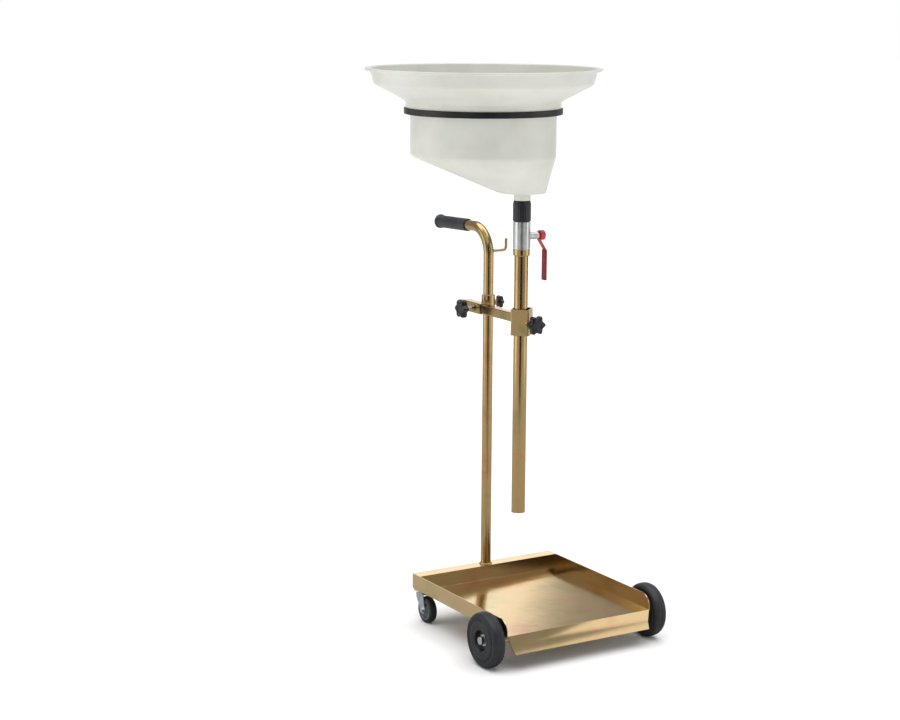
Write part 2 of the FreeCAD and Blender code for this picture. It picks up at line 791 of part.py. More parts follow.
def valve_body():
    """Ball-valve body: a round foot, a long hexagon, a threaded nipple and a boss for the stem."""
    length = valve_top - tube_top
    barrel = cyl(valve_foot_r, length, V(tube_x, tube_y, tube_top))
    trunk = hex_prism(valve_hex, length - valve_foot_h, V(tube_x, tube_y, tube_top + valve_foot_h))
    nipple = cyl(nipple_d / 2, nipple_height, V(tube_x, tube_y, valve_top))
    boss = cyl(valve_boss_d / 2, gland_face - gland_t, V(tube_x, tube_y, stem_z), X)
    body = barrel.fuse([trunk, nipple, boss])
    flow = cyl(valve_bore_d / 2, length + nipple_height, V(tube_x, tube_y, tube_top))
    body = body.cut(flow)
    body = body.cut(Part.makeSphere(ball_r + sliding, V(tube_x, tube_y, stem_z)))
    return body.cut(cyl(stem_d / 2 + running, gland_face, V(tube_x, tube_y, stem_z), X))


def gland_nut():
    at = V(tube_x + gland_face - gland_t, tube_y, stem_z)
    return hex_prism(gland_hex, gland_t, at, X).cut(cyl(stem_d / 2 + running, gland_t, at, X))


def valve_ball():
    centre = V(tube_x, tube_y, stem_z)
    ball = Part.makeSphere(ball_r, centre)
    ball = ball.cut(cyl(valve_bore_d / 2, 2 * ball_r + 2, centre - V(0, 0, ball_r + 1)))
    return ball


def lever_x():
    return tube_x + gland_face + 1.0


def valve_stem():
    """Stem from the ball's side out through the gland to the lever."""
    start = tube_x + ball_r - 2.0
    length = lever_x() + lever_t + lever_hub_t - lever_hub_cover - start
    body = cyl(stem_d / 2, length, V(start, tube_y, stem_z), X)
    return body.cut(valve_ball())


def lever():
    """Flat lever hanging from the stem, with a jog outwards to clear the valve."""
    x = lever_x()
    jog = tube_x + lever_jog_x - x
    w = lever_width / 2
    z1 = stem_z - 9.0
    z2 = z1 - lever_jog_drop
    foot = stem_z - lever_length
    t = lever_t
    side = [V(x, -w, stem_z + 11), V(x + t, -w, stem_z + 11), V(x + t, -w, z1), V(x + jog + t, -w, z2),
            V(x + jog + t, -w, foot), V(x + jog, -w, foot), V(x + jog, -w, z2 - 1), V(x, -w, z1 - 1)]
    strip = prism(side, V(0, lever_width, 0))
    strip = moved(strip, V(0, tube_y, 0))
    return strip.cut(cyl(stem_d / 2, 2 * t, V(x - t / 2, tube_y, stem_z), X))


def lever_cover():
    """Plastic sleeve over the lever's lower run."""
    x = lever_x()
    jog = tube_x + lever_jog_x - x
    w = lever_width / 2 + lever_cover_wall
    top = stem_z - 9.0 - lever_jog_drop - 2.0
    foot = stem_z - lever_length
    c = lever_cover_wall
    body = box(x + jog - c, x + jog + lever_t + c, tube_y - w, tube_y + w, foot - c, top)
    upright = [e for e in body.Edges if abs(e.tangentAt(e.FirstParameter).z) > 0.99]
    body = body.makeFillet(c, upright)
    half = lever_width / 2
    return body.cut(box(x + jog, x + jog + lever_t, tube_y - half, tube_y + half, foot, top))


def lever_hub():
    """Round cap over the stem's end that carries the lever."""
    at = V(lever_x() + lever_t, tube_y, stem_z)
    hub = cyl(lever_hub_d / 2, lever_hub_t, at, X)
    rim = [e for e in hub.Edges if abs(e.CenterOfMass.x - at.x - lever_hub_t) < 0.1]
    hub = hub.makeFillet(2.5, rim)
    return hub.cut(cyl(stem_d / 2, lever_hub_t - lever_hub_cover, at, X)).cut(lever())


# ---- funnel ---------------------------------------------------------------------------------------------
def cone_between(x0, r0, z0, x1, r1, z1):
    """Ruled solid from one level circle to another whose centre may be elsewhere."""
    low = Part.Wire(Part.makeCircle(r0, V(x0, tube_y, z0), Z))
    high = Part.Wire(Part.makeCircle(r1, V(x1, tube_y, z1), Z))
    return Part.makeLoft([low, high], True, True)


def hopper():
    """Lower hopper: a round wall, a sump that slopes to the drain at one side, and a neck."""
    outer = cyl(hopper_r, hopper_top - hopper_foot, V(funnel_x, tube_y, hopper_foot))
    lip = cyl(hopper_r + hopper_lip, plastic, V(funnel_x, tube_y, hopper_top))
    slope = cone_between(tube_x, sump_d / 2, sump_floor, funnel_x, hopper_r, hopper_foot)
    neck = cyl(neck_d / 2, sump_floor - neck_foot, V(tube_x, tube_y, neck_foot))
    shoulder = cyl(neck_d / 2 + neck_step, sump_floor - coupling_top, V(tube_x, tube_y, coupling_top))
    body = outer.fuse([lip, slope, neck, shoulder])
    room = cyl(hopper_r - plastic, hopper_top + plastic - hopper_foot, V(funnel_x, tube_y, hopper_foot))
    pit = cone_between(tube_x, sump_d / 2 - plastic, sump_floor + plastic,
                       funnel_x, hopper_r - plastic, hopper_foot)
    drain = cyl(neck_d / 2 - neck_wall, 100.0, V(tube_x, tube_y, coupling_top - 40.0))
    return body.cut(room).cut(pit).cut(drain).removeSplitter()


def coupling():
    """Black swivel coupling between the valve's nipple and the hopper's neck."""
    r = coupling_d / 2
    nipple_top = valve_top + nipple_height
    split = max(nipple_top + 2 * sliding, neck_foot - 6.0)
    bore = nipple_d / 2 + running
    throat = neck_d / 2 - neck_wall
    body = turned([(bore, coupling_bottom), (r - 2, coupling_bottom), (r, coupling_bottom + 3),
                   (r, coupling_top - 20), (r - coupling_taper, coupling_top), (throat, coupling_top),
                   (throat, split), (bore, split)], tube_x, tube_y)
    return body.cut(cyl(neck_d / 2, 60.0, V(tube_x, tube_y, neck_foot)))


def seal_ring():
    """Rubber ring that wraps the hopper's lip and carries the bowl."""
    lip_r = hopper_r + hopper_lip
    inner = hopper_r - plastic / 2
    z = hopper_top
    hook_r = lip_r - 4
    profile = [(inner, z + plastic), (lip_r, z + plastic), (lip_r, z), (hook_r, z), (hook_r, z - seal_wrap),
               (seal_d / 2, z - seal_wrap), (seal_d / 2, seal_top), (inner, seal_top)]
    return turned(profile, funnel_x, tube_y)


def bowl():
    """Upper splash bowl: rim, steep wall, cone, narrow band and a spigot inside the hopper."""
    t = plastic
    spigot_z = bowl_seat - spigot_depth
    band = band_d / 2
    foot = cone_foot_d / 2
    head = cone_head_d / 2
    rim = rim_inner_d / 2
    outer = [(throat_r, spigot_z), (throat_r, bowl_seat), (band, bowl_seat), (band, bowl_seat + band_height),
             (foot, cone_foot_z), (head, cone_head_z), (rim, rim_z - rim_t),
             (rim_d / 2, rim_z - rim_t), (rim_d / 2, rim_z), (rim - t, rim_z)]
    inner = [(head - t, cone_head_z + t * 0.6), (foot - t, cone_foot_z + t * 0.8),
             (band - t, bowl_seat + band_height + t), (band - t, bowl_seat + t),
             (throat_r - t, bowl_seat + t), (throat_r - t, spigot_z)]
    return turned(outer + inner, funnel_x, tube_y)


def strainer():
    """Perforated disc on the bowl's ledge, its holes in hexagonal rings."""
    disc = cyl(strainer_d / 2, strainer_t, V(funnel_x, tube_y, strainer_seat + sliding))
    holes = []
    for i in range(-strainer_rings - 1, strainer_rings + 2):
        for j in range(-strainer_rings - 1, strainer_rings + 2):
            hx = strainer_pitch * (i + j / 2)
            hy = strainer_pitch * j * math.sqrt(3) / 2
            if math.hypot(hx, hy) < strainer_d / 2 - strainer_hole_d / 2 - 6:
                holes.append(cyl(strainer_hole_d / 2, 10.0, V(funnel_x + hx, tube_y + hy, strainer_seat - 4)))
    return disc.cut(holes)


def strainer_handle():
    """Bent wire loop welded to the strainer between two rows of holes."""
    r = strainer_handle_d / 2
    y = tube_y + strainer_pitch * math.sqrt(3) / 4
    z0 = strainer_seat + sliding + strainer_t
    top = z0 + strainer_handle_h
    w = strainer_handle_w / 2
    b = 10.0
    k = b * (1 - math.sqrt(0.5))
    x = funnel_x
    edges = [Part.makeLine(V(x - w, y, z0), V(x - w, y, top - b)),
             arc(V(x - w, y, top - b), V(x - w + k, y, top - k), V(x - w + b, y, top)),
             Part.makeLine(V(x - w + b, y, top), V(x + w - b, y, top)),
             arc(V(x + w - b, y, top), V(x + w - k, y, top - k), V(x + w, y, top - b)),
             Part.makeLine(V(x + w, y, top - b), V(x + w, y, z0))]
    return swept_disc(edges, r)


def parts():
    out = {"tray": tray(), "under_ribs": under_ribs(), "front_axle": front_axle(),
           "axle_brackets": axle_brackets(), "axle_washers": axle_washers(),
           "axle_spacers": axle_spacers(), "axle_caps": axle_caps(), "caster_plates": caster_plates(),
           "caster_bolts": caster_bolts(), "caster_kingpins": kingpins(), "caster_raceways": raceways(),
           "post": post(), "post_weld": post_weld(), "grip": grip(), "hook": hook()}
    for side, name in ((-1, "left"), (1, "right")):
        out["wheel_tyre_" + name] = sided(wheel_tyre(), side)
        out["wheel_core_" + name] = sided(wheel_core(), side)
        out["wheel_bush_" + name] = sided(wheel_bush(), side)
        out["caster_fork_" + name] = caster_fork(side)
        out["caster_axle_" + name] = caster_axle(side)
        out["caster_tread_" + name] = caster_tread(side)
        out["caster_hub_" + name] = caster_hub(side)
    out.update({"collar_liner": collar_liner(), "collar": collar(), "collar_boss": collar_boss(),
                "arm_sleeve": arm_sleeve(), "sleeve_boss": sleeve_boss(), "arm_tube": arm_tube(),
                "arm_cap": arm_cap(), "clamp_block": clamp_block(), "block_boss": block_boss()})
    out.update(screws())
    out.update({"drop_tube": drop_tube(), "tube_ring": tube_ring(), "valve_body": valve_body(),
                "gland_nut": gland_nut(), "valve_ball": valve_ball(), "valve_stem": valve_stem(),
                "lever": lever(), "lever_cover": lever_cover(), "lever_hub": lever_hub()})
    out.update({"hopper": hopper(), "coupling": coupling(), "seal_ring": seal_ring(), "bowl": bowl(),
                "strainer": strainer(), "strainer_handle": strainer_handle()})
    return out


def main():
    os.makedirs("parts", exist_ok=True)
    for name, shape in parts().items():
        if not shape.isValid():
            print("not valid:", name)
        shape.exportStep(os.path.join("parts", name + ".step"))
        print(f"{name:20s} solids {len(shape.Solids)} volume {shape.Volume / 1000:10.2f} cm3")


main()
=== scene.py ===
import json
import math

import bmesh
import bpy
import numpy as np
from mathutils import Matrix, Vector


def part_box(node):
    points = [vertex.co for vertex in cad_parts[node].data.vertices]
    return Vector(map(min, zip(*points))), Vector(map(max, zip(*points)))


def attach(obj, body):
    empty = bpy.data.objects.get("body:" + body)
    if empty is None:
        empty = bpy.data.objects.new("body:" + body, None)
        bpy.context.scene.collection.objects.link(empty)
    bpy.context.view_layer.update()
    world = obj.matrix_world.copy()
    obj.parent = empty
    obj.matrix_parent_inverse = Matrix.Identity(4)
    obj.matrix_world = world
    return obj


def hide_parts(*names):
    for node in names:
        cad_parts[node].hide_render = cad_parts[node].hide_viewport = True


# Looks of the wheeled oil drainer: plated trolley, knobs, valve and the plastic funnel. Metres, +Z up.
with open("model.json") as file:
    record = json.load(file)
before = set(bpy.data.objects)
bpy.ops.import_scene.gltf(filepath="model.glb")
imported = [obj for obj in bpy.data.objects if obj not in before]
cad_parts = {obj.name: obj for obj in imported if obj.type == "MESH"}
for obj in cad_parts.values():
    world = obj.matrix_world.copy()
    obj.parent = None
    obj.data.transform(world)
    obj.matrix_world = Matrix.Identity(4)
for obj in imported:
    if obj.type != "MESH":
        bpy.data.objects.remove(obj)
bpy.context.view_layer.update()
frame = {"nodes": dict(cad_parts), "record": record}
nodes = frame["nodes"]
mm = 0.001
bodyOf = {n: body for body, members in frame["record"]["behaviour"]["bodies"].items() for n in members}
print("frame loaded:", len(nodes), "nodes")


# ---- measuring the frame ----
def pointsOf(node):
    mesh = nodes[node].data
    flat = np.empty(len(mesh.vertices) * 3, np.float32)
    mesh.vertices.foreach_get("co", flat)
    return flat.reshape(-1, 3).astype(float)


def spanOf(node, direction):
    reach = pointsOf(node) @ np.array(direction, float)   # how far the node reaches along the direction
    return reach.min(), reach.max()


def boxOf(node):
    low, high = (np.array(corner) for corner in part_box(node))
    return low, high, (low + high) / 2


# ---- shapes ----
def softCorners(points, radius, steps=6, loop=False):
    # an outline's corners become arcs: each starts and ends radius * tan(half the turn) from its corner
    points = np.array(points, float)
    before, after = np.roll(points, 1, 0), np.roll(points, -1, 0)
    arrive, leave = points - before, after - points
    lengthIn = np.linalg.norm(arrive, axis=1, keepdims=True) + 1e-12
    lengthOut = np.linalg.norm(leave, axis=1, keepdims=True) + 1e-12
    arrive, leave = arrive / lengthIn, leave / lengthOut
    cosine = np.clip((arrive * leave).sum(1, keepdims=True), -0.999, 1)
    turn = np.arccos(cosine)
    reach = np.reshape(radius, (-1, 1)) * np.tan(turn / 2)
    reach = np.minimum(reach, 0.48 * np.minimum(lengthIn, lengthOut))
    bend = reach / np.tan(np.maximum(turn, 1e-6) / 2)
    inward = leave - cosine * arrive
    inward = inward / (np.linalg.norm(inward, axis=1, keepdims=True) + 1e-12)
    share = np.linspace(0, 1, steps)[None, :, None]
    angle = turn[:, None] * share
    centre = (points - arrive * reach + inward * bend)[:, None]
    arcs = centre - inward[:, None] * bend[:, None] * np.cos(angle) + arrive[:, None] * bend[:, None] * np.sin(angle)
    if not loop:
        arcs[0], arcs[-1] = points[0], points[-1]
    return arcs.reshape(-1, points.shape[1])


def axisFrame(axis):
    axis = np.array(axis, float) / np.linalg.norm(axis)
    side = np.cross((0, 0, 1), axis) if abs(axis[2]) < 0.9 else np.array((1.0, 0, 0))
    side = side / np.linalg.norm(side)
    return side, np.cross(axis, side), axis


def lathe(profile, base, axis=(0, 0, 1), count=96, ripple=None):
    # a profile of radius and height turned about an axis; ripple scales the radius by angle
    side, up, along = axisFrame(axis)
    angle = np.linspace(0, 2 * np.pi, count, endpoint=False)[None, :, None]
    profile = np.array(profile, float)
    radius, height = profile[:, None, 0:1], profile[:, None, 1:2]
    if ripple is not None:
        radius = radius * ripple(angle, profile[:, None])
    return np.array(base) + radius * (np.cos(angle) * side + np.sin(angle) * up) + height * along


def shiftedRings(profile, middleY, count=128):
    # rows of centre x, radius and height: each row is a level ring, so rings with other centres lean
    angle = np.linspace(0, 2 * np.pi, count, endpoint=False)[None, :]
    centreX, radius, height = (profile[:, k:k + 1] for k in range(3))
    x = centreX + radius * np.cos(angle)
    y = middleY + radius * np.sin(angle)
    return np.stack([x, y, height + 0 * angle], -1)


def sweep(path, section, side):
    # a flat outline carried along a path that lies in the plane square to side
    path, section = np.array(path, float), np.array(section, float)
    path = path[np.append(True, np.linalg.norm(np.diff(path, axis=0), axis=1) > 1e-7)]   # no repeated points
    tangent = np.gradient(path, axis=0)
    tangent = tangent / np.linalg.norm(tangent, axis=1, keepdims=True)
    side = np.array(side, float)
    up = np.cross(tangent, side)
    return path[:, None] + section[None, :, 0:1] * side + section[None, :, 1:2] * up[:, None]


def circle(radius, count=48):
    angle = np.linspace(0, 2 * np.pi, count, endpoint=False)
    return np.stack([radius * np.cos(angle), radius * np.sin(angle)], -1)


def finishMesh(mesh, sharpAngle):
    mesh.polygons.foreach_set("use_smooth", np.ones(len(mesh.polygons), bool))
    mesh.set_sharp_from_angle(angle=math.radians(sharpAngle))
    mesh.update()


def gridPiece(name, grid, material, loop=False, sharpAngle=38):
    # a grid of rows and closed columns becomes a closed skin: rows join up too, or the end rows are capped
    rows, cols = grid.shape[:2]
    index = np.arange(rows * cols).reshape(rows, cols)
    here = index if loop else index[:-1]
    there = np.roll(index, -1, 0) if loop else index[1:]
    quads = np.stack([here, np.roll(here, -1, 1), np.roll(there, -1, 1), there], -1).reshape(-1, 4)
    faces = quads.tolist()
    if not loop:
        faces += [index[0][::-1].tolist(), index[-1].tolist()]
    points = grid.reshape(-1, 3)
    a, b, c, d = (points[quads[:, k]] for k in range(4))
    volume = (a * np.cross(b, c)).sum() + (a * np.cross(c, d)).sum()
    if not loop:
        for ring, sign in ((index[0], -1), (index[-1], 1)):
            middle = points[ring].mean(0)
            volume += sign * (middle * np.cross(points[ring], points[np.roll(ring, -1)])).sum()
    if volume < 0:
        faces = [face[::-1] for face in faces]
    mesh = bpy.data.meshes.new(name)
    mesh.from_pydata(points.tolist(), [], faces)
    shape = bmesh.new()
    shape.from_mesh(mesh)
    bmesh.ops.remove_doubles(shape, verts=shape.verts, dist=1e-7)
    shape.to_mesh(mesh)
    shape.free()
    finishMesh(mesh, sharpAngle)
    mesh.materials.append(material)
    piece = bpy.data.objects.new(name, mesh)
    bpy.context.scene.collection.objects.link(piece)
    return piece


def standFor(piece, *replaced):
    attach(piece, bodyOf[replaced[0]])
    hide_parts(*replaced)
    return piece


def edgeRounded(node, width, material, segments=3, angle=32):
    # a merged copy of a CAD piece with its sharp edges rolled over by width
    mesh = nodes[node].data.copy()
    shape = bmesh.new()
    shape.from_mesh(mesh)
    bmesh.ops.remove_doubles(shape, verts=shape.verts, dist=2e-6)
    bmesh.ops.dissolve_limit(shape, angle_limit=math.radians(0.3), verts=shape.verts, edges=shape.edges)
    shape.to_mesh(mesh)
    shape.free()
    finishMesh(mesh, angle)
    mesh.materials.clear()
    mesh.materials.append(material)
    piece = bpy.data.objects.new(node + "_finished", mesh)
    bpy.context.scene.collection.objects.link(piece)
    roll = piece.modifiers.new("rolled edges", "BEVEL")
    roll.width = width
    roll.segments = segments
    roll.limit_method = "ANGLE"
    roll.angle_limit = math.radians(angle)
    roll.use_clamp_overlap = True
    roll.harden_normals = True
    return standFor(piece, node)


# ---- materials ----
def hexColor(code):
    # sRGB hex to linear red, green, blue and alpha
    parts = [int(code[k:k + 2], 16) / 255 for k in (1, 3, 5)]
    return tuple(p / 12.92 if p <= 0.04045 else ((p + 0.055) / 1.055) ** 2.4 for p in parts) + (1.0,)


def addNode(tree, kind, settings=None, links=None, stops=None):
    node = tree.nodes.new("ShaderNode" + kind)
    for key, value in (settings or {}).items():
        if isinstance(key, int) or key in node.inputs:
            node.inputs[key].default_value = value
        else:
            setattr(node, key, value)
    for key, source in (links or {}).items():
        tree.links.new(source, node.inputs[key])
    if stops:
        ramp = node.color_ramp
        ramp.elements[0].position, ramp.elements[1].position = stops[0][0], stops[-1][0]
        for place, _ in stops[1:-1]:
            ramp.elements.new(place)
        for element, (_, code) in zip(ramp.elements, stops):
            element.color = hexColor(code)
    return node


def finish(name, look):
    # colour drifts between the look's shades in patches, gloss varies in finer ones, and bumps stand on it;
    # sizes in the look are in millimetres, and a noise scale is 1 over the size in metres
    material = bpy.data.materials.new(name)
    material.use_nodes = True
    tree = material.node_tree
    tree.nodes.clear()
    place = addNode(tree, "TexCoord").outputs["Object"]
    patches = addNode(tree, "TexNoise", {"Scale": 1 / (look["patch"] * mm), "Detail": 4.0, "Roughness": 0.55},
                      {"Vector": place})
    colour = addNode(tree, "ValToRGB", {}, {"Fac": patches.outputs["Fac"]}, look["shades"])
    grain = addNode(tree, "TexNoise", {"Scale": 1 / (look["grain"] * mm), "Detail": 3.0}, {"Vector": place})
    low, high = look["roughness"]
    gloss = addNode(tree, "MapRange", {"From Min": 0.3, "From Max": 0.7, "To Min": low, "To Max": high},
                    {"Value": grain.outputs["Fac"]})
    wave = addNode(tree, "TexNoise", {"Scale": 1 / (look["wave"] * mm), "Detail": 2.0}, {"Vector": place})
    wavy = addNode(tree, "Bump", {"Strength": 1.0, "Distance": look["waveHeight"] * mm},
                   {"Height": wave.outputs["Fac"]})
    rough = addNode(tree, "Bump", {"Strength": 1.0, "Distance": look["grainHeight"] * mm},
                    {"Height": grain.outputs["Fac"], "Normal": wavy.outputs["Normal"]})
    settings = {"Metallic": look.get("metallic", 0.0)}
    if "ior" in look:
        settings["IOR"] = look["ior"]
    settings.update(look.get("shader", {}))
    shader = addNode(tree, "BsdfPrincipled", settings,
                     {"Base Color": colour.outputs["Color"], "Roughness": gloss.outputs["Result"],
                      "Normal": rough.outputs["Normal"]})
    addNode(tree, "OutputMaterial", {}, {"Surface": shader.outputs["BSDF"]})
    return material


# yellow chromate over bright zinc: a glossy gold metal whose film drifts from olive to rose
goldZinc = finish("yellowChromateZinc", {
    "patch": 70, "grain": 2.2, "roughness": (0.15, 0.26), "wave": 38, "waveHeight": 0.12, "grainHeight": 0.006,
    "metallic": 1.0,
    "shades": [(0.30, "#B3A06F"), (0.44, "#C6AB78"), (0.56, "#CDAB78"), (0.70, "#C49A72")]})
# the same plating on flat sheet, a little duller and paler with faint rolling waves
trayZinc = finish("yellowChromateSheet", {
    "patch": 120, "grain": 1.6, "roughness": (0.12, 0.2), "wave": 90, "waveHeight": 0.25, "grainHeight": 0.003,
    "metallic": 1.0,
    "shades": [(0.30, "#D2BB88"), (0.46, "#DEC392"), (0.58, "#E2C294"), (0.72, "#DBB389")]})
# clear zinc: blue-white metal with a soft crystalline gloss
silverZinc = finish("clearZinc", {
    "patch": 14, "grain": 1.2, "roughness": (0.24, 0.36), "wave": 20, "waveHeight": 0.05, "grainHeight": 0.008,
    "metallic": 1.0, "shades": [(0.3, "#AEB3B8"), (0.5, "#C6CACD"), (0.7, "#D6D9DB")]})
# nickel-plated brass casting: pale grey-green metal with a sandy skin under the plating
castNickel = finish("castNickel", {
    "patch": 16, "grain": 0.9, "roughness": (0.26, 0.42), "wave": 9, "waveHeight": 0.06, "grainHeight": 0.02,
    "metallic": 1.0, "shades": [(0.3, "#D2D8D4"), (0.5, "#E0E5E2"), (0.7, "#EAEDEB")]})
# carbon-black tyre rubber: blue-black, dull, with a fine mould grain
tyreRubber = finish("tyreRubber", {
    "patch": 40, "grain": 0.8, "roughness": (0.42, 0.6), "wave": 12, "waveHeight": 0.05, "grainHeight": 0.03,
    "ior": 1.52, "shades": [(0.3, "#17191E"), (0.5, "#1F2228"), (0.7, "#2A2E35")]})
# glass-filled nylon: black with a spark-eroded satin skin
corePlastic = finish("blackNylon", {
    "patch": 30, "grain": 0.7, "roughness": (0.32, 0.46), "wave": 10, "waveHeight": 0.04, "grainHeight": 0.012,
    "ior": 1.53, "shades": [(0.3, "#0E0F12"), (0.5, "#15171A"), (0.7, "#1D1F23")]})
# phenolic knob: black, polished by the mould
knobPlastic = finish("phenolic", {
    "patch": 22, "grain": 1.0, "roughness": (0.18, 0.32), "wave": 8, "waveHeight": 0.03, "grainHeight": 0.006,
    "ior": 1.6, "shades": [(0.3, "#0B0C10"), (0.5, "#111319"), (0.7, "#191C24")]})
# soft PVC grip: charcoal with a satin sheen
gripRubber = finish("softVinylGrip", {
    "patch": 35, "grain": 0.6, "roughness": (0.34, 0.5), "wave": 14, "waveHeight": 0.05, "grainHeight": 0.02,
    "ior": 1.53, "shades": [(0.3, "#202329"), (0.5, "#292D34"), (0.7, "#343941")]})
# dip-coated vinyl: deep red, wet-looking
redVinyl = finish("dippedVinyl", {
    "patch": 18, "grain": 1.4, "roughness": (0.14, 0.26), "wave": 7, "waveHeight": 0.08, "grainHeight": 0.008,
    "ior": 1.53, "shades": [(0.3, "#6E1219"), (0.5, "#861820"), (0.7, "#9A222A")]})
# moulded nylon cap on the lever: brighter red
redNylon = finish("redNylon", {
    "patch": 12, "grain": 0.9, "roughness": (0.28, 0.42), "wave": 6, "waveHeight": 0.03, "grainHeight": 0.01,
    "ior": 1.53, "shades": [(0.3, "#A32A33"), (0.5, "#B4333C"), (0.7, "#C04048")]})
# rigid PVC coupling: near-black with a faint purple cast
blackPipe = finish("rigidVinyl", {
    "patch": 20, "grain": 1.1, "roughness": (0.2, 0.34), "wave": 10, "waveHeight": 0.05, "grainHeight": 0.008,
    "ior": 1.54, "shades": [(0.3, "#131218"), (0.5, "#1A1921"), (0.7, "#23212B")]})
# natural polyethylene: grey-white with a green cast, waxy, faint orange peel from the mould
milkPlastic = finish("naturalPolyethylene", {
    "patch": 160, "grain": 2.6, "roughness": (0.3, 0.42), "wave": 55, "waveHeight": 0.22, "grainHeight": 0.012,
    "ior": 1.54, "shader": {"Subsurface Weight": 0.12, "Subsurface Scale": 0.006},
    "shades": [(0.3, "#C9CBC1"), (0.5, "#D2D3CA"), (0.7, "#DADBD4")]})
# nitrile seal: matt black
sealRubber = finish("nitrileSeal", {
    "patch": 30, "grain": 1.0, "roughness": (0.38, 0.52), "wave": 12, "waveHeight": 0.06, "grainHeight": 0.02,
    "ior": 1.52, "shades": [(0.3, "#101114"), (0.5, "#17191C"), (0.7, "#212326")]})
# grey rubber-nylon caster wheel
casterPlastic = finish("greyNylon", {
    "patch": 18, "grain": 0.9, "roughness": (0.34, 0.48), "wave": 8, "waveHeight": 0.03, "grainHeight": 0.012,
    "ior": 1.53, "shades": [(0.3, "#53565A"), (0.5, "#63666A"), (0.7, "#717478")]})
# natural acetal and nylon: ivory, waxy
ivoryNylon = finish("naturalAcetal", {
    "patch": 16, "grain": 0.9, "roughness": (0.3, 0.42), "wave": 8, "waveHeight": 0.02, "grainHeight": 0.008,
    "ior": 1.53, "shades": [(0.3, "#CFC9B4"), (0.5, "#DAD5C3"), (0.7, "#E4E0D1")]})
print("materials ready")


# ---- trolley ----
tray = {"edge": 1.1 * mm, "bracketEdge": 1.0 * mm, "boltEdge": 0.7 * mm}


def buildTrolley():
    edgeRounded("tray", tray["edge"], trayZinc)
    edgeRounded("under_ribs", tray["bracketEdge"], trayZinc)
    for node in ("axle_brackets", "caster_plates"):
        edgeRounded(node, tray["bracketEdge"], goldZinc)
    for node in ("front_axle", "axle_washers", "axle_spacers", "caster_bolts", "caster_kingpins", "caster_raceways"):
        edgeRounded(node, tray["boltEdge"], silverZinc)
    edgeRounded("axle_caps", 1.6 * mm, silverZinc, 4)


post = {"bend": 74 * mm, "tilt": math.radians(2.0), "sides": 72}


def buildPost():
    # one round bar: upright, through the bend and out along the handle, which falls a little to its end
    low, high, middle = boxOf("post")
    radius = middle[0] - low[0]
    centreY, foot = low[1] + radius, low[2]
    along = np.array((0, math.cos(post["tilt"]), -math.sin(post["tilt"])))
    across = np.array((0, -along[2], along[1]))
    level = sum(spanOf("grip", across)) / 2
    end = along * spanOf("post", along)[1] + across * level
    corner = (level - centreY * across[1]) / across[2]
    path = softCorners([(0, centreY, foot), (0, centreY, corner), end], post["bend"], 40)
    tube = gridPiece("postTube", sweep(path, circle(radius, post["sides"]), (1, 0, 0)), goldZinc)
    standFor(tube, "post")
    return radius, centreY, along, across * level


weld = {"beads": 26, "swell": 0.16}


def weldRing(name, ringRadius, beadRadius, base, axis=(0, 0, 1)):
    # a ring of overlapping beads: the bead's radius swells once per bead round the ring
    angle = np.linspace(0, 2 * np.pi, 6 * weld["beads"], endpoint=False)[:, None, None]
    across = np.linspace(0, 2 * np.pi, 16, endpoint=False)[None, :, None]
    bead = beadRadius * (1 + weld["swell"] * np.abs(np.cos(angle * weld["beads"] / 2)))
    side, up, along = axisFrame(axis)
    outward = np.cos(angle) * side + np.sin(angle) * up
    grid = np.array(base) + outward * (ringRadius + bead * np.cos(across)) + along * bead * np.sin(across)
    return gridPiece(name, grid, goldZinc, loop=True)


grip = {"flange": 2.6 * mm, "skirt": 5 * mm, "endRound": 3 * mm, "bottom": 3.9 * mm}


def buildHandle(postRadius, along, level):
    start, end = spanOf("grip", along)
    wide = spanOf("grip", (1, 0, 0))
    flange, length, skirt = (wide[1] - wide[0]) / 2, end - start, grip["skirt"]
    body = flange - grip["flange"]
    profile = [(postRadius, 0), (body - 0.6 * mm, 0), (body, 2 * mm), (body, length - skirt - 3 * mm),
               (flange, length - skirt), (flange, length), (0, length)]
    rounded = softCorners(profile, [0, 1 * mm, 3 * mm, 3 * mm, 1.6 * mm, grip["endRound"], 0], 6)
    inner = np.array([(0, length - grip["bottom"]), (postRadius, length - grip["bottom"])])
    grid = lathe(np.vstack([rounded, inner]), along * start + level, along, 96)
    standFor(gridPiece("handleGrip", grid, gripRubber, loop=True), "grip")


hook = {"bend": 10 * mm}


def buildHook(postRadius):
    low, high, middle = boxOf("hook")
    radius = (high[1] - low[1]) / 2
    z = low[2] + radius
    tip = high[2] - radius
    x = high[0] - radius
    corner = [(postRadius - radius, middle[1], z), (x, middle[1], z), (x, middle[1], tip)]
    path = softCorners(corner, hook["bend"], 24)
    dome = np.linspace(0, np.pi / 2, 9)[1:]
    extra = np.stack([0 * dome + x, 0 * dome + middle[1], tip + radius * np.sin(dome)], -1)
    grid = sweep(np.vstack([path, extra]), circle(radius, 32), (0, 1, 0))
    grid[-len(dome):] = extra[:, None] + (grid[-len(dome):] - extra[:, None]) * np.cos(dome)[:, None, None]
    standFor(gridPiece("utensilHook", grid, goldZinc), "hook")
    bead = weldRing("hookWeld", radius + 0.6 * mm, 1.3 * mm, (postRadius - 0.3 * mm, middle[1], z), axis=(1, 0, 0))
    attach(bead, bodyOf["post_weld"])


# ---- wheels ----
tyre = {"height": 22 * mm, "sidewallStep": 2.5 * mm, "groove": 0.8 * mm, "grooveHalf": 1.8 * mm,
        "grooveMouth": 2.2 * mm, "round": 1.6 * mm}
core = {"recess": 28 * mm, "depth": 12 * mm, "lip": 1.2 * mm, "ring": 9 * mm, "ringWidth": 2.8 * mm,
        "ringDepth": 0.7 * mm, "slope": 0.8 * mm, "round": 0.9 * mm}


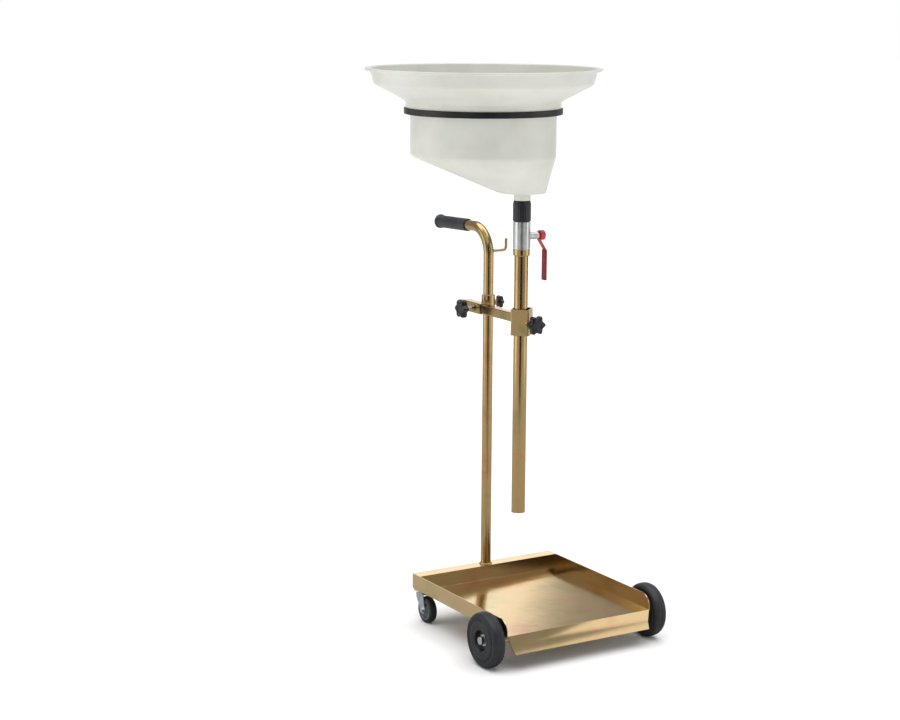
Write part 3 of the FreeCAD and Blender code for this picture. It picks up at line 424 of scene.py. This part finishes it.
def buildFrontWheel(side):
    low, high, middle = boxOf("wheel_tyre_" + side)
    outer, half = middle[2] - low[2], middle[0] - low[0]
    # across the tyre: bead, sunk band, raised band, shoulder and tread with one groove, the same on both sides
    seat, step = outer - tyre["height"], tyre["sidewallStep"]
    wall = [(seat, 0), (outer - 21 * mm, 0), (outer - 19.5 * mm, step), (outer - 15 * mm, step), (outer - 13 * mm, 0),
            (outer - 9 * mm, 0), (outer - 3.5 * mm, 3 * mm), (outer - 1 * mm, 8.5 * mm), (outer, 14 * mm)]
    wall = np.array(wall)
    sunk, mouth, foot = outer - tyre["groove"], tyre["grooveMouth"], tyre["grooveHalf"]
    crown = [(outer, half - mouth), (sunk, half - foot), (sunk, half + foot), (outer, half + mouth)]
    far = np.stack([wall[::-1, 0], 2 * half - wall[::-1, 1]], -1)
    profile = softCorners(np.vstack([wall, crown, far]), tyre["round"], 5, loop=True)
    base = (low[0], middle[1], middle[2])
    standFor(gridPiece("tyre_" + side, lathe(profile, base, (1, 0, 0), 144), tyreRubber, loop=True),
             "wheel_tyre_" + side)
    coreLow, coreHigh, _ = boxOf("wheel_core_" + side)
    bore = spanOf("wheel_bush_" + side, (0, 0, 1))[1] - middle[2]
    width = coreHigh[0] - coreLow[0]
    recess, depth, ring = core["recess"], core["depth"], core["recess"] + core["ring"]
    face = np.array([(bore, depth), (recess - 2.5 * mm, depth), (recess, core["lip"]), (recess + 1.5 * mm, 0),
                     (ring, 0), (ring + core["slope"], core["ringDepth"]), (ring + 2 * mm, core["ringDepth"]),
                     (ring + core["ringWidth"], 0), (seat - 0.6 * mm, 0), (seat, 0.8 * mm)])
    back = np.stack([face[::-1, 0], width - face[::-1, 1]], -1)
    profile = softCorners(np.vstack([face, back]), core["round"], 4, loop=True)
    grid = lathe(profile, (coreLow[0], middle[1], middle[2]), (1, 0, 0), 120)
    standFor(gridPiece("wheelCore_" + side, grid, corePlastic, loop=True), "wheel_core_" + side)


caster = {"tread": 9 * mm, "shoulder": 5 * mm, "chamfer": 1.6 * mm, "round": 1.8 * mm, "edge": 0.8 * mm,
          "axleEdge": 0.7 * mm}


def buildCaster(side):
    low, high, middle = boxOf("caster_tread_" + side)
    outer, half = middle[2] - low[2], middle[0] - low[0]
    seat, shoulder, chamfer = outer - caster["tread"], caster["shoulder"], caster["chamfer"]
    profile = [(seat, 0), (outer - shoulder, 0), (outer - chamfer, chamfer), (outer, shoulder), (outer, half),
               (outer, 2 * half - shoulder), (outer - chamfer, 2 * half - chamfer),
               (outer - shoulder, 2 * half), (seat, 2 * half)]
    profile = softCorners(profile, caster["round"], 5, loop=True)
    base = (low[0], middle[1], middle[2])
    standFor(gridPiece("casterTread_" + side, lathe(profile, base, (1, 0, 0), 96), tyreRubber, loop=True),
             "caster_tread_" + side)
    edgeRounded("caster_hub_" + side, caster["edge"], casterPlastic)
    edgeRounded("caster_fork_" + side, caster["edge"], silverZinc)
    edgeRounded("caster_axle_" + side, caster["axleEdge"], silverZinc)


# ---- collar, arm and clamp ----
clamp = {"tubeEdge": 2.2 * mm, "armShare": 0.7, "blockEdge": 1.0 * mm, "nutEdge": 1.0 * mm, "collarEdge": 0.7 * mm,
         "capEdge": 0.8 * mm, "studEdge": 0.3 * mm, "linerEdge": 0.4 * mm}


def buildArm():
    edgeRounded("collar", clamp["collarEdge"], goldZinc)
    edgeRounded("arm_sleeve", clamp["tubeEdge"], goldZinc, 4)
    edgeRounded("arm_tube", clamp["tubeEdge"] * clamp["armShare"], goldZinc, 4)
    edgeRounded("arm_cap", clamp["capEdge"], knobPlastic)
    edgeRounded("clamp_block", clamp["blockEdge"], goldZinc, 4)
    for node in ("collar_boss", "sleeve_boss", "block_boss"):
        edgeRounded(node, clamp["nutEdge"], goldZinc)
    for node in ("stud_collar", "stud_sleeve", "stud_block"):
        edgeRounded(node, clamp["studEdge"], silverZinc)
    edgeRounded("collar_liner", clamp["linerEdge"], ivoryNylon)


knob = {"lobes": 6, "valley": 0.75, "edge": 2.2 * mm, "neck": 6 * mm}


def buildKnob(name, along):
    # a round profile whose outer rows follow a wavy outline: radius * (mean + swing * cos(lobes * angle))
    low, high = spanOf("knob_" + name, along)
    side, up, axis = axisFrame(along)
    tall, wide = spanOf("knob_" + name, (0, 0, 1)), spanOf("knob_" + name, side)
    tip = max((tall[1] - tall[0]) / 2, (wide[1] - wide[0]) / 2)
    middle = boxOf("stud_" + name)[2]
    base = middle + axis * (low - middle @ axis)   # the knob's foot on its stud's line
    total, neck = high - low, knob["neck"]
    rows = [(0, total - 1.4 * mm, 0), (0.28 * tip, total - 1.2 * mm, 0), (0.34 * tip, total - 1.6 * mm, 0),
            (0.40 * tip, total, 0.2), (0.66 * tip, total - 0.3 * mm, 0.7), (0.90 * tip, total - 2.2 * mm, 1),
            (tip, total - 5.5 * mm, 1), (tip, neck + 3.5 * mm, 1), (0.93 * tip, neck, 1), (0.5 * tip, neck, 0.4),
            (0.4 * tip, neck - 0.5 * mm, 0), (0.34 * tip, 0, 0), (0.16 * tip, 0, 0), (0, 0, 0)]
    rows = np.array(rows)
    scaled = softCorners(rows * (1, 1, tip), knob["edge"], 6)
    radius, height, weight = scaled[:, None, 0], scaled[:, None, 1], scaled[:, None, 2] / tip
    angle = np.linspace(0, 2 * np.pi, 24 * knob["lobes"], endpoint=False)[None, :]
    mean, swing = (1 + knob["valley"]) / 2, (1 - knob["valley"]) / 2
    outline = 1 - weight + weight * (mean + swing * np.cos(knob["lobes"] * angle))
    reach = (radius * outline)[..., None]
    turned = reach * (np.cos(angle)[..., None] * side + np.sin(angle)[..., None] * up)
    grid = base + turned + (height + 0 * angle)[..., None] * axis
    standFor(gridPiece("starKnob_" + name, grid, knobPlastic), "knob_" + name)


# ---- drop tube and valve ----
tube = {"wall": 2 * mm, "lip": 0.5 * mm, "ringEdge": 0.8 * mm}


def buildTube():
    low, high, middle = boxOf("drop_tube")
    radius = middle[0] - low[0]
    inner = radius - tube["wall"]
    length = high[2] - low[2]
    profile = softCorners([(inner, 0), (radius, 0), (radius, length), (inner, length)], tube["lip"], 4, loop=True)
    grid = lathe(profile, (middle[0], middle[1], low[2]), count=96)
    standFor(gridPiece("dropTube", grid, goldZinc, loop=True), "drop_tube")
    edgeRounded("tube_ring", tube["ringEdge"], goldZinc)


valve = {"castEdge": 1.4 * mm, "nutEdge": 0.7 * mm, "turnedEdge": 0.3 * mm, "leverEdge": 0.8 * mm,
         "coverEdge": 1.2 * mm, "hubEdge": 0.6 * mm}


def buildValve():
    edgeRounded("valve_body", valve["castEdge"], castNickel, 4)
    edgeRounded("gland_nut", valve["nutEdge"], castNickel)
    edgeRounded("valve_ball", valve["turnedEdge"], silverZinc)
    edgeRounded("valve_stem", valve["turnedEdge"], castNickel)
    edgeRounded("lever", valve["leverEdge"], redNylon)
    edgeRounded("lever_cover", valve["coverEdge"], redVinyl, 4)
    edgeRounded("lever_hub", valve["hubEdge"], redNylon)


# ---- funnel ----
coupler = {"ribs": 28, "rib": 0.022, "nipple": 16.6 * mm, "throat": 15.5 * mm, "neckRoom": 19.1 * mm,
           "neckDepth": 30 * mm, "collar": 5 * mm, "round": 1.2 * mm, "sides": 336}


def buildCoupling():
    # a turned sleeve whose middle band carries grip ribs: radius * (1 - rib * |cos(ribs * angle / 2)| cubed)
    low, high, middle = boxOf("coupling")
    radius, length = middle[0] - low[0], high[2] - low[2]
    neck, collar = length - coupler["neckDepth"], length - coupler["collar"]
    outer = [(coupler["nipple"], 0), (radius - 2 * mm, 0), (radius, 3 * mm), (radius, collar - 3 * mm),
             (radius - 1.4 * mm, collar), (radius - 1.8 * mm, length), (coupler["neckRoom"], length),
             (coupler["neckRoom"], neck), (coupler["throat"], neck), (coupler["throat"], neck - 2 * mm),
             (coupler["nipple"], neck - 2 * mm)]
    profile = softCorners(outer, coupler["round"], 4, loop=True)

    def ribs(angle, row):
        band = (row[..., 1:2] > 2 * mm) & (row[..., 1:2] < collar - 2 * mm) & (row[..., 0:1] > radius - 1.5 * mm)
        return 1 - band * coupler["rib"] * np.abs(np.cos(angle * coupler["ribs"] / 2)) ** 3

    grid = lathe(profile, (middle[0], middle[1], low[2]), count=coupler["sides"], ripple=ribs)
    standFor(gridPiece("swivelCoupling", grid, blackPipe, loop=True), "coupling")
    return middle


hopper = {"wall": 3 * mm, "footRound": 16 * mm, "sumpRound": 9 * mm, "neck": 19 * mm, "neckWall": 3.5 * mm,
          "shoulder": 23 * mm, "lip": 12 * mm, "sumpRadius": 64 * mm, "sumpAbove": 20 * mm, "footAbove": 125 * mm,
          "neckBelow": 30 * mm}


def buildHopper(drain, funnelX):
    # level rings whose centres move from the funnel's axis to the drain's, so one side falls steeply:
    # x = centre + radius * cos(angle), y = radius * sin(angle)
    low, high, middle = boxOf("hopper")
    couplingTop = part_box("coupling")[1][2]
    wall = hopper["wall"]
    outer = (high[0] - low[0]) / 2 - hopper["lip"]
    top, floor, foot = high[2], couplingTop + hopper["sumpAbove"], couplingTop + hopper["footAbove"]
    sump, neck, bottom = hopper["sumpRadius"], hopper["neck"], couplingTop - hopper["neckBelow"]
    inside = neck - hopper["neckWall"]
    rows = [(funnelX, outer - wall, top), (funnelX, outer + hopper["lip"], top),
            (funnelX, outer + hopper["lip"], top - wall), (funnelX, outer, top - wall), (funnelX, outer, foot),
            (drain[0], sump, floor), (drain[0], hopper["shoulder"], floor),
            (drain[0], hopper["shoulder"], couplingTop), (drain[0], neck, couplingTop), (drain[0], neck, bottom),
            (drain[0], inside, bottom), (drain[0], inside, floor + wall), (drain[0], sump - wall, floor + wall),
            (funnelX, outer - wall, foot + 0.4 * wall)]
    footRound, sumpRound = hopper["footRound"], hopper["sumpRound"]
    radii = [0.5 * mm, 0.5 * mm, 0.5 * mm, 1 * mm, footRound, sumpRound, 4 * mm, 0.6 * mm, 0.6 * mm,
             1 * mm, 1 * mm, 2 * mm, sumpRound, footRound]
    profile = softCorners(rows, radii, 8, loop=True)
    standFor(gridPiece("lowerHopper", shiftedRings(profile, drain[1], 160), milkPlastic, loop=True), "hopper")


bowl = {"wall": 3 * mm, "bandHeight": 15 * mm, "spigot": 24 * mm, "rimLip": 13 * mm, "rimDepth": 6 * mm,
        "throat": 189.5 * mm, "band": 206 * mm, "coneFoot": 213 * mm, "coneHead": 290 * mm, "footDrop": 82 * mm,
        "headDrop": 42 * mm}


def buildBowl():
    # turned round the funnel's axis: spigot, ledge, band, cone, steep wall and rim
    low, high, middle = boxOf("bowl")
    rim = middle[0] - low[0]
    seat, wall, height = bowl["spigot"], bowl["wall"], high[2] - low[2]
    throat, band, foot, head = bowl["throat"], bowl["band"], bowl["coneFoot"], bowl["coneHead"]
    rimInner = rim - bowl["rimLip"]
    footZ, headZ = height - bowl["footDrop"], height - bowl["headDrop"]
    outer = [(throat, 0), (throat, seat), (band, seat), (band, seat + bowl["bandHeight"]), (foot, footZ),
             (head, headZ), (rimInner, height - bowl["rimDepth"]), (rim, height - bowl["rimDepth"]), (rim, height),
             (rimInner - wall, height)]
    inner = [(head - wall, headZ + 0.6 * wall), (foot - wall, footZ + 0.8 * wall),
             (band - wall, seat + bowl["bandHeight"] + wall), (band - wall, seat + wall),
             (throat - wall, seat + wall), (throat - wall, 0)]
    radii = np.array([0.8, 1, 1, 3, 4, 16, 4, 2.6, 2.6, 4, 14, 3, 3, 2, 2, 0.8]) * mm
    profile = softCorners(outer + inner, radii, 7, loop=True)
    grid = lathe(profile, (middle[0], middle[1], low[2]), count=192)
    standFor(gridPiece("splashBowl", grid, milkPlastic, loop=True), "bowl")
    return middle[0]


seal = {"edge": 2.0 * mm, "strainerEdge": 0.3 * mm, "wireEdge": 0.2 * mm}


def buildSeal():
    edgeRounded("seal_ring", seal["edge"], sealRubber, 4)
    edgeRounded("strainer", seal["strainerEdge"], milkPlastic, 2)
    edgeRounded("strainer_handle", seal["wireEdge"], silverZinc, 2)


buildTrolley()
postRadius, postY, handleAlong, handleLevel = buildPost()
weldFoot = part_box("post_weld")[0][2]
standFor(weldRing("postWeld", postRadius + 0.8 * mm, 2.6 * mm, (0, postY, weldFoot + 0.9 * mm)), "post_weld")
buildHandle(postRadius, handleAlong, handleLevel)
buildHook(postRadius)
for side in ("left", "right"):
    buildFrontWheel(side)
    buildCaster(side)
    edgeRounded("wheel_bush_" + side, 0.4 * mm, ivoryNylon)
print("trolley built")
buildArm()
buildTube()
for name, along in (("collar", (1, 0, 0)), ("sleeve", (-1, 0, 0)), ("block", (0, -1, 0))):
    buildKnob(name, along)
buildValve()
drain = buildCoupling()
buildHopper(drain, buildBowl())
buildSeal()
print("arm, valve and funnel built")


# ---- studio ----
studio = {"floor": 60.0, "roomLight": 0.55, "mirroredRoom": 0.3, "paper": 0.95, "mirroredPaper": 0.42,
          "skyLight": 2.3, "skySpread": 75.0, "flagWidth": 1.5, "flagHeight": 2.6, "flagReach": 2.6}


# name, place, aim, width and height, and brightness of each softbox
lamps = [("leftBox", (-3.4, 1.4, 1.5), (0, 0, 0.9), (2.4, 3.0), 0.9),
         ("rightBox", (3.0, -2.4, 1.5), (0, 0, 0.9), (2.0, 3.0), 0.8),
         ("backBox", (2.6, 4.4, 1.2), (0, 0, 0.5), (5.0, 2.4), 1.0)]


def plainMaterial(name, color, roughness):
    material = bpy.data.materials.new(name)
    material.use_nodes = True
    shader = material.node_tree.nodes["Principled BSDF"]
    shader.inputs["Base Color"].default_value = hexColor(color)
    shader.inputs["Roughness"].default_value = roughness
    return material


def plainSheet(name, corners, material):
    mesh = bpy.data.meshes.new(name)
    mesh.from_pydata([tuple(c) for c in corners], [], [(0, 1, 2, 3)])
    mesh.materials.append(material)
    sheet = bpy.data.objects.new(name, mesh)
    bpy.context.scene.collection.objects.link(sheet)
    return sheet


def softbox(name, place, target, size, radiance):
    # an area lamp's power for a wanted brightness is pi times its area times the brightness
    lamp = bpy.data.lights.new(name, "AREA")
    lamp.shape = "RECTANGLE"
    lamp.size, lamp.size_y = size
    lamp.energy = math.pi * size[0] * size[1] * radiance
    holder = bpy.data.objects.new(name, lamp)
    bpy.context.scene.collection.objects.link(holder)
    away = np.array(place, float) - np.array(target, float)
    side, up, along = axisFrame(away)
    turn = Matrix([[side[k], up[k], along[k]] for k in range(3)]).to_4x4()
    holder.matrix_world = Matrix.Translation(place) @ turn
    holder.visible_camera = False


view = {"place": (-2.918, -4.415, 1.7835), "turn": -30.91, "down": 10.80, "roll": 0.35, "lens": 79.0}


def buildStudio():
    scene = bpy.context.scene
    scene.view_settings.view_transform = "Standard"
    half = studio["floor"] / 2
    paper = plainMaterial("whitePaper", "#FAFAFA", 1.0)
    rays = addNode(paper.node_tree, "LightPath")
    tone = addNode(paper.node_tree, "MapRange", {"To Min": studio["paper"], "To Max": studio["mirroredPaper"]},
                   {"Value": rays.outputs["Is Glossy Ray"]})
    shader = paper.node_tree.nodes["Principled BSDF"]
    paper.node_tree.links.new(tone.outputs["Result"], shader.inputs["Base Color"])
    plainSheet("studioFloor", [(-half, -half, 0), (half, -half, 0), (half, half, 0), (-half, half, 0)], paper)
    world = bpy.data.worlds.new("whiteRoom")
    world.use_nodes = True
    tree = world.node_tree
    tree.nodes.clear()
    rays = addNode(tree, "LightPath")
    level = addNode(tree, "MapRange", {"To Min": studio["roomLight"], "To Max": studio["mirroredRoom"]},
                    {"Value": rays.outputs["Is Glossy Ray"]})
    seen = addNode(tree, "MapRange", {"To Max": 1.0},
                   {"Value": rays.outputs["Is Camera Ray"], "To Min": level.outputs["Result"]})
    back = addNode(tree, "Background", {"Color": (1, 1, 1, 1)}, {"Strength": seen.outputs["Result"]})
    addNode(tree, "OutputWorld", {}, {"Surface": back.outputs["Background"]})
    scene.world = world
    sky = bpy.data.lights.new("overhead", "SUN")
    sky.energy, sky.angle = studio["skyLight"], math.radians(studio["skySpread"])
    scene.collection.objects.link(bpy.data.objects.new("overhead", sky))
    for name, place, target, size, radiance in lamps:
        softbox(name, place, target, size, radiance)
    camera = bpy.data.objects.new("camera", bpy.data.cameras.new("camera"))
    camera.data.lens = view["lens"]
    turn = Matrix.Rotation(math.radians(view["turn"]), 4, "Z")
    tilt = Matrix.Rotation(math.radians(90 - view["down"]), 4, "X")
    roll = Matrix.Rotation(math.radians(view["roll"]), 4, "Z")
    camera.matrix_world = Matrix.Translation(view["place"]) @ turn @ tilt @ roll
    scene.collection.objects.link(camera)
    scene.camera = camera
    back = np.array(camera.matrix_world.to_3x3().col[2])
    back[2] = 0
    side = np.array([-back[1], back[0], 0]) / np.linalg.norm(back)
    centre = back / np.linalg.norm(back) * studio["flagReach"]
    reach, rise = side * studio["flagWidth"] / 2, np.array([0, 0, studio["flagHeight"]])
    flag = plainSheet("blackFlag", [centre - reach, centre + reach, centre + reach + rise, centre - reach + rise],
                      plainMaterial("blackFelt", "#050505", 1.0))
    flag.visible_camera = flag.visible_diffuse = flag.visible_shadow = False   # it shows in reflections only


buildStudio()
